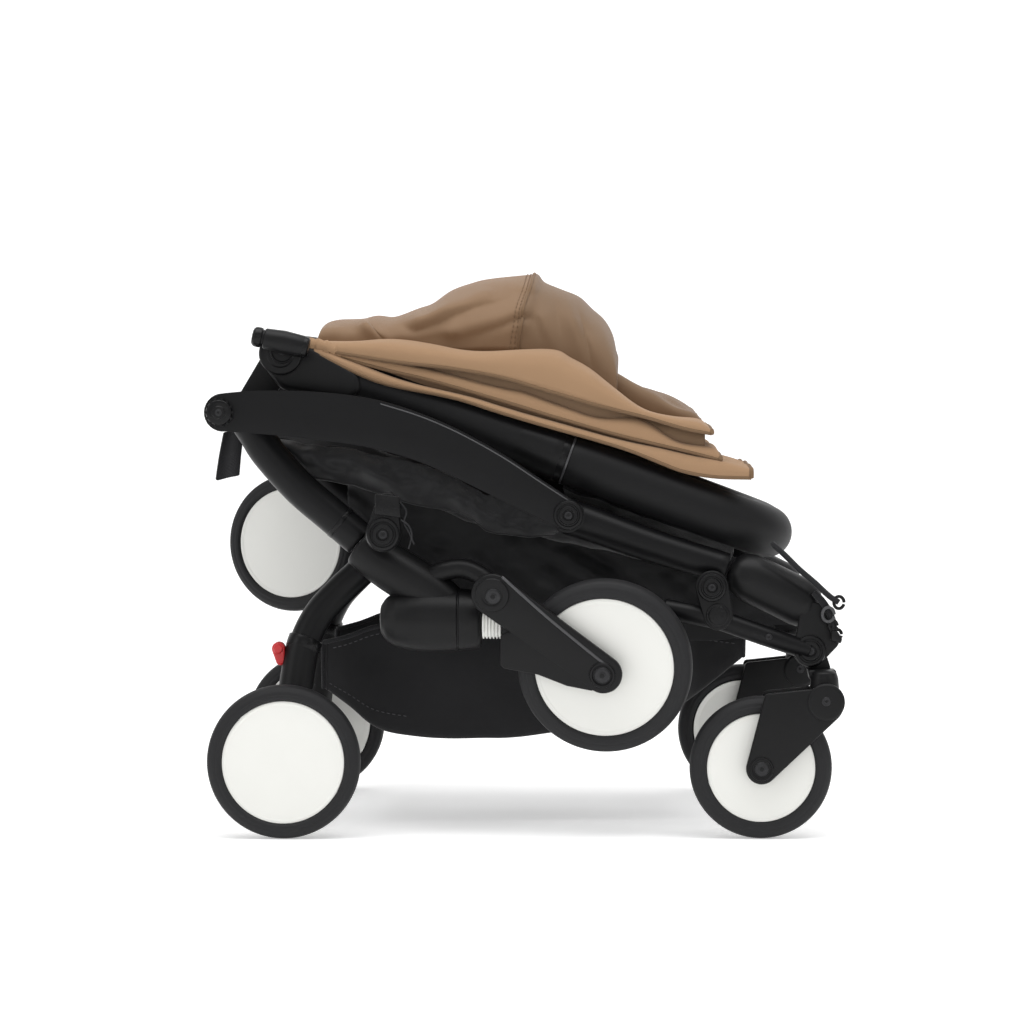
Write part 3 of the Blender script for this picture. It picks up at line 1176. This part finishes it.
SEAM_X = 7.0
heap, heap_rows = hood_piece("hood_gathered_panel", -193, SEAM_X, 2.0, 1.0, TAN_HOOD, 120)
smooth_side, smooth_rows = hood_piece("hood_smooth_panel", SEAM_X, 83.5, 2.0, 0.6, TAN_DARK, 50)
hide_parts("canopy_hood")
front_ring = smooth_rows[-1]
centre = Vector((84, 0, 436))
caps = [[centre + (point - centre) * share + Vector((2.2 * (1 - share), 0, 0)) for point in front_ring]
        for share in (1.0, 0.96, 0.85, 0.65, 0.4, 0.12)]
front = fit(cloth("hood_front_panel", caps, TAN_DARK, 1.4), "canopy_top")
seam_line = [point + Vector((0, math.copysign(0.8, point.y), 0.8)) for point in heap_rows[-1]]
trim = [fit(bar("hood_seam_roll", seam_line, 1.5, TAN_EDGE, 0.5, 12), "canopy_top")]
for index, back in enumerate((2, 4)):
    line = [point + (point - Vector((point.x, 0, 440))).normalized() * 1.1
            for point in heap_rows[-1 - back]]
    trim.append(fit(stitches("hood_seam_stitch_%d" % index, line, TAN_EDGE), "canopy_top"))
binding = [point + Vector((0, math.copysign(0.6, point.y), 0)) for point in heap_rows[0]]
trim.append(fit(bar("hood_rear_binding", binding, 2.4, TAN_EDGE, 0.8, 14), "canopy_top"))
cut_from(heap, heap_rows)
cut_from(smooth_side, smooth_rows)
cut_from(front, caps, across=2 * HOOD_REACH)

# %% [markdown]
# A pleated strip joins the hood to the canopy under it.  It is tucked away while the hood is down, and
# its pleats open as the hood lifts: its lower edge follows the canopy and its upper edge the hood.

# %% Pleats between the hood and the canopy
def tuck(x):
    """Height of the strip's lower edge."""
    return 445.0 - 0.16 * (x + 196.0)


route = [(-150 + 212 * k / 50, -105, 0, -1) for k in range(51)]
route += [(66 + 4 * math.sin(math.pi * k / 20), -98 + 196 * k / 20, 1, 0) for k in range(21)]
route += [(x, 105, 0, 1) for x, y, out_x, out_y in route[50::-1]]
rows = [[Vector((x + 2.0 * out_x * (k % 2), y + 2.0 * out_y * (k % 2), tuck(x) + 22.0 * k / 16))
         for k in range(17)] for x, y, out_x, out_y in route]
strip = cloth("hood_pleats", rows, TAN_DARK, 0.8, 0)
tuple(spot(0, 0, tuck(0) + 1))
tuple(spot(3.3, 0, tuck(0) + 21.5))
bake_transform(strip)
cut_from(strip, rows)

# %% [markdown]
# Each clamp is a short thick bar along the hub's top with a round knob at its rear end.  The cloth
# gathers into a cord where it leaves the clamp.

# %% Canopy clamps
for side, sign in SIDES:
    axis_line = [(-236, sign * 189, 451.6), (-218, sign * 189, 448.0), (-199, sign * 189, 443.6)]
    aim = (Vector(axis_line[2]) - Vector(axis_line[0])).normalized()
    clamp = bar("canopy_clamp_skin_" + side, axis_line, [9.6, 10.6, 10.2], PLASTIC, 2.6, 48)
    fit(clamp, "canopy_base", "canopy_clamp_" + side, slot="black_plastic")
    knob = [(0, 13.4), (6.6, 13.4), (8.8, 11.4), (9.2, 8.0), (9.0, 5.2), (7.6, 4.2), (7.2, -3), (0, -3)]
    fit(turned("canopy_knob_" + side, knob, Vector(axis_line[0]) + aim * 3, -aim, GLOSS_PLASTIC, 56, 1.2),
        "canopy_base")
    heel = [(0, 4), (7.4, 4), (9.6, 2.4), (10.0, -4), (0, -4)]
    fit(turned("canopy_heel_" + side, heel, Vector(axis_line[2]), aim, GLOSS_PLASTIC, 56, 0.8),
        "canopy_base")
    gather = smooth_path([(-207, sign * 176, 446), (-196, sign * 166, 447), (-182, sign * 164, 444),
                          (-168, sign * 160, 439)], 6)
    fit(bar("canopy_gather_" + side, gather, [4.6 + 0.12 * k + 0.7 * math.sin(k * 2.2)
                                              for k in range(len(gather))], TAN, 2.0, 28), "canopy_base")

# %% [markdown]
# ## Seat, basket and strap
# The seat hangs in folds between the arches.  The basket is a deep pouch of black cloth with a bound
# top edge.

# %% Seat cloth
def seat_rows(steps=80, columns=44):
    top = along_line([(-262, 366), (-180, 352), (-100, 332), (0, 292), (38, 278), (140, 254)])
    low = along_line([(-262, 350), (-221, 342), (-189, 327), (-152, 313), (-116, 301), (-88, 292),
                      (-24, 270), (22, 264), (80, 252), (142, 238)])
    rows = []
    for row in range(steps + 1):
        x = -262 + 402 * row / steps
        z_top, z_low = top(x), low(x)
        line = []
        for k in range(columns + 1):
            share = k / columns
            y = -143 + 286 * share
            dip = math.sin(math.pi * share)
            edge = min(1.0, min(share, 1 - share) * 9)
            z = z_top - (z_top - z_low) * (1 - (1 - edge) ** 2) * (0.75 + 0.25 * dip)
            push = 5.0 * ripple(x + 0.7 * z, y, z, 26, 60, 4.0) + 2.0 * ripple(x, y, z, 12, 30, 9.0)
            line.append(Vector((x, y, z + push * 0.5 * (1 - edge * 0.4))))
        rows.append(line)
    return rows


rows = seat_rows()
seat = cloth("seat_hammock", rows, BLACK_SATIN, 1.6)
fit(seat, "chassis", "seat", slot="black_fabric")
cut_from(seat, rows)
def hanging(top, low, steps, columns, place):
    """Rows of a sheet between two lines; place turns x, z and the share of the way down into a point."""
    upper, lower = along_line(top), along_line(low)
    start, end = top[0][0], top[-1][0]
    rows = []
    for row in range(steps + 1):
        x = start + (end - start) * row / steps
        z_top, z_low = upper(x), lower(x)
        shares = [k / columns for k in range(columns + 1)]
        rows.append([place(x, z_top + (z_low - z_top) * share, share) for share in shares])
    return rows


FLAP_TOP = [(-250, 362), (-180, 352), (-100, 338), (-40, 312), (30, 284)]
FLAP_LOW = [(-250, 358), (-221, 346), (-195, 326), (-148, 317), (-108, 301), (-71, 296), (-50, 286),
            (-26, 273), (22, 272), (30, 274)]
for side, sign in SIDES:
    def bellied(x, z, share):
        belly = math.sin(math.pi * share)
        folds = 5.0 * ripple(x + 1.1 * z, 0, z * 0.4, 34, 60, 14.0 + sign)
        push = folds + 3.0 * ripple(x, z, z, 11, 16, 3.0)
        return Vector((x, sign * (146 + 10 * belly + push * belly), z + push * 0.3))

    rows = hanging(FLAP_TOP, FLAP_LOW, 90, 14, bellied)
    flap = fit(cloth("seat_side_" + side, rows, BLACK_SATIN, 1.4), "chassis", slot="black_fabric")
    hem = fit(bar("seat_side_hem_" + side, [row[-1] for row in rows[::3]], 1.6, BLACK_SATIN, 0.6, 12),
              "chassis")
    cut_from(flap, rows)

# %% [markdown]
# Below the seat hang two inner drops of cloth, and a stuffed fold lies under the bar's front.

# %% Cloth under the seat
DROP_TOP = [(-165, 324), (-122, 306), (-60, 305), (20, 285), (100, 270), (196, 243), (252, 212)]
DROP_LOW = [(-165, 300), (-150, 284), (-122, 236), (-90, 205), (-40, 186), (40, 180), (120, 174),
            (186, 174), (215, 186), (252, 188)]
for side, sign in SIDES:
    def rippled(x, z, share):
        folds = 6.0 * ripple(x + 1.3 * z, 0, z * 0.3, 34, 60, 40.0 + sign)
        push = folds + 2.0 * ripple(x, z, z, 14, 24, 5.0)
        return Vector((x, sign * (112 + push * math.sin(math.pi * min(1.0, share * 1.2))), z))

    rows = hanging(DROP_TOP, DROP_LOW, 80, 32, rippled)
    drop = fit(cloth("under_seat_cloth_" + side, rows, BLACK_SATIN, 1.4), "chassis", slot="black_fabric")
    cut_from(drop, rows)
rows = []
for row in range(41):
    x = 36 + 158 * row / 40
    middle_z = 309 - (x - 36) * 0.35
    waves = [9 * math.cos(math.pi * k / 12) + 2 * ripple(x, k * 9, 0, 20, 30, 1.0) for k in range(25)]
    rows.append([Vector((x, -116 + 232 * k / 24, middle_z + wave)) for k, wave in enumerate(waves)])
roll = fit(cloth("seat_front_fold", rows, BLACK_CLOTH, 8.0), "chassis")

# %% [markdown]
# The basket is one deep sheet: flat underneath, with its sides turned up.  Its half width and its two
# heights change along its length, and a thick binding finishes the edge.

# %% Basket
STATIONS = [(-188, 170, 128, 98), (-165, 176, 112, 106), (-136, 186, 90, 110), (-87, 191, 82, 112),
            (-23, 190, 82, 112), (31, 182, 88, 110), (100, 179, 98, 104), (138, 180, 108, 88),
            (163, 178, 122, 66), (205, 173, 156, 60)]
basket_top = along_line([(x, top) for x, top, low, half in STATIONS])
basket_low = along_line([(x, low) for x, top, low, half in STATIONS])
basket_half = along_line([(x, half) for x, top, low, half in STATIONS])
rows = []
for row in range(101):
    x = -189 + 393 * row / 100
    z_top, z_low, half = basket_top(x), basket_low(x), basket_half(x)
    line = []
    for k in range(49):
        share = -1 + 2 * k / 48
        if abs(share) > 0.5:
            t = (abs(share) - 0.5) * 2
            y = half - 6 * (1 - t) ** 2
            z = z_low + (z_top - z_low) * t
        else:
            t = abs(share) * 2
            y = (half - 6) * t
            z = z_low + 0.0 * t
        push = 2.6 * ripple(x, share * 60, z * 1.3, 46, 60, 8.0) + 0.9 * ripple(x, z, z, 18, 24, 2.0)
        fade = min(1.0, (1 - abs(share)) * 8)
        line.append(Vector((x, math.copysign(y + push * fade * 0.6, share), z + push * 0.25 * fade)))
    rows.append(line)
pouch = cloth("basket_pouch", rows, BLACK_CLOTH, 1.8)
fit(pouch, "chassis", "basket", slot="black_fabric")
trim = []
for label, column, size in (("near", 0, 2.3), ("far", 48, 2.3)):
    line = [row[column] for row in rows[::2]]
    trim.append(fit(bar("basket_binding_" + label, line, size, WEBBING, 0.8, 14), "chassis"))
    drop = [point + Vector((0, math.copysign(1.0, point.y), -7.0)) for point in line[1:-1]]
    trim.append(fit(stitches("basket_stitch_" + label, drop, THREAD, 3.4, 2.0, 0.5), "chassis"))
    corner = rows[1][:13] if column == 0 else rows[1][36:]
    trim.append(fit(bar("basket_corner_seam_" + label, corner, 1.3, BLACK_CLOTH, 0.4, 10), "chassis"))
    seam = [rows[row][10 if column == 0 else 38] + Vector((0, math.copysign(1.2, 1 if column else -1), 0))
            for row in range(1, 22)]
    trim.append(fit(stitches("basket_dash_" + label, seam, THREAD, 3.0, 2.2, 0.5), "chassis"))
for label, index in (("rear", 0), ("front", 100)):
    trim.append(fit(bar("basket_end_binding_" + label, rows[index][::2], 2.0, WEBBING, 0.8, 12),
                    "chassis"))
cut_from(pouch, rows)

# %% [markdown]
# A short end of webbing hangs from the rear tube and swings a little outward.

# %% Rear strap
rows = []
for k in range(25):
    share = k / 24
    left = Vector((-280.5 - 7.5 * share, -104 - 6 * math.sin(share * 3), 366 - 45 * share))
    rows.append([left + Vector((19.0 * j / 8 + 3.0 * j / 8 * share, 3.0 * math.sin(j * 0.7),
                                5.0 * j / 8 * share)) for j in range(9)])
tail = cloth("rear_strap_web", rows, WEBBING, 1.8)
fit(tail, "chassis", "rear_strap", slot="black_fabric")
cut_from(tail, rows)

# %% [markdown]
# ## Floor, light and camera
# A pale floor runs up into a pale wall.  A large soft lamp hangs above and a little to the front, with
# weaker ones from the left and right, as in a product studio.

# %% Studio
def studio_floor():
    points = []
    profile = [(-9.0, 0.0), (2.2, 0.0)] + [(2.2 + 1.4 * math.sin(math.pi / 2 * k / 10),
                                            1.4 - 1.4 * math.cos(math.pi / 2 * k / 10))
                                           for k in range(1, 11)] + [(3.6, 6.0)]
    for y, z in profile:
        points += [(-9.0, y, z), (9.0, y, z)]
    mesh = bpy.data.meshes.new("studio_floor")
    mesh.from_pydata(points, [], grid_faces(len(profile), 2))
    if mesh.polygons[0].normal.z < 0:
        mesh.flip_normals()
    mesh.shade_smooth()
    made = bpy.data.objects.new("studio_floor", mesh)
    bpy.context.scene.collection.objects.link(made)
    pale = Finish("studio pale", (0.93, 0.93, 0.93), 0.9, Specular_IOR_Level=0.1)
    cloud = pale.noise(0.6, 2.0)
    pale.feed("Base Color", pale.mix(cloud, rgb(0.925, 0.925, 0.925), rgb(0.945, 0.945, 0.945)))
    pale.shader.inputs["Emission Color"].default_value = rgb(1.0, 1.0, 1.0)
    pale.shader.inputs["Emission Strength"].default_value = 0.36
    # Seen from behind, the wall lets the camera look through it.
    tree = pale.material.node_tree
    clear = tree.nodes.new("ShaderNodeBsdfTransparent")
    facing = tree.nodes.new("ShaderNodeNewGeometry")
    choice = tree.nodes.new("ShaderNodeMixShader")
    output = next(node for node in tree.nodes if node.type == "OUTPUT_MATERIAL")
    tree.links.new(facing.outputs["Backfacing"], choice.inputs[0])
    tree.links.new(pale.shader.outputs[0], choice.inputs[1])
    tree.links.new(clear.outputs[0], choice.inputs[2])
    tree.links.new(choice.outputs[0], output.inputs["Surface"])
    mesh.materials.append(pale.material)
    return made


def lamp(name, location, aim, size, watts):
    data = bpy.data.lights.new(name, "AREA")
    data.shape = "RECTANGLE"
    data.size, data.size_y = size
    data.energy = watts
    made = bpy.data.objects.new(name, data)
    made.location = location
    made.rotation_euler = (Vector(aim) - Vector(location)).to_track_quat("-Z", "Y").to_euler()
    bpy.context.scene.collection.objects.link(made)
    return made


floor = studio_floor()
lamps = [lamp("overhead", (0.0, -0.5, 2.6), (0.0, 0.1, 0.2), (3.0, 2.0), 62.0),
         lamp("left_side", (-2.4, -1.6, 1.3), (0.0, 0.0, 0.25), (1.4, 2.0), 13.0),
         lamp("right_side", (2.4, -1.4, 1.5), (0.0, 0.0, 0.25), (1.2, 2.0), 9.0),
         lamp("front_low", (0.0, -3.4, 1.2), (0.0, 0.0, 0.25), (2.4, 1.4), 9.0)]
world = bpy.data.worlds.new("studio air")
world.use_nodes = True
world.node_tree.nodes["Background"].inputs["Color"].default_value = (1.0, 1.0, 1.0, 1.0)
world.node_tree.nodes["Background"].inputs["Strength"].default_value = 0.42
bpy.context.scene.world = world
bpy.context.scene.view_settings.view_transform = "Standard"

camera_data = bpy.data.cameras.new("camera")
camera_data.lens = 129.6
camera_data.sensor_width = 36.0
camera = bpy.data.objects.new("camera", camera_data)
camera.location = (0.0606, -3.5305, 0.401)
camera.rotation_euler = (math.radians(90 - 1.83), 0.0, math.radians(1.06))
bpy.context.scene.collection.objects.link(camera)
bpy.context.scene.camera = camera
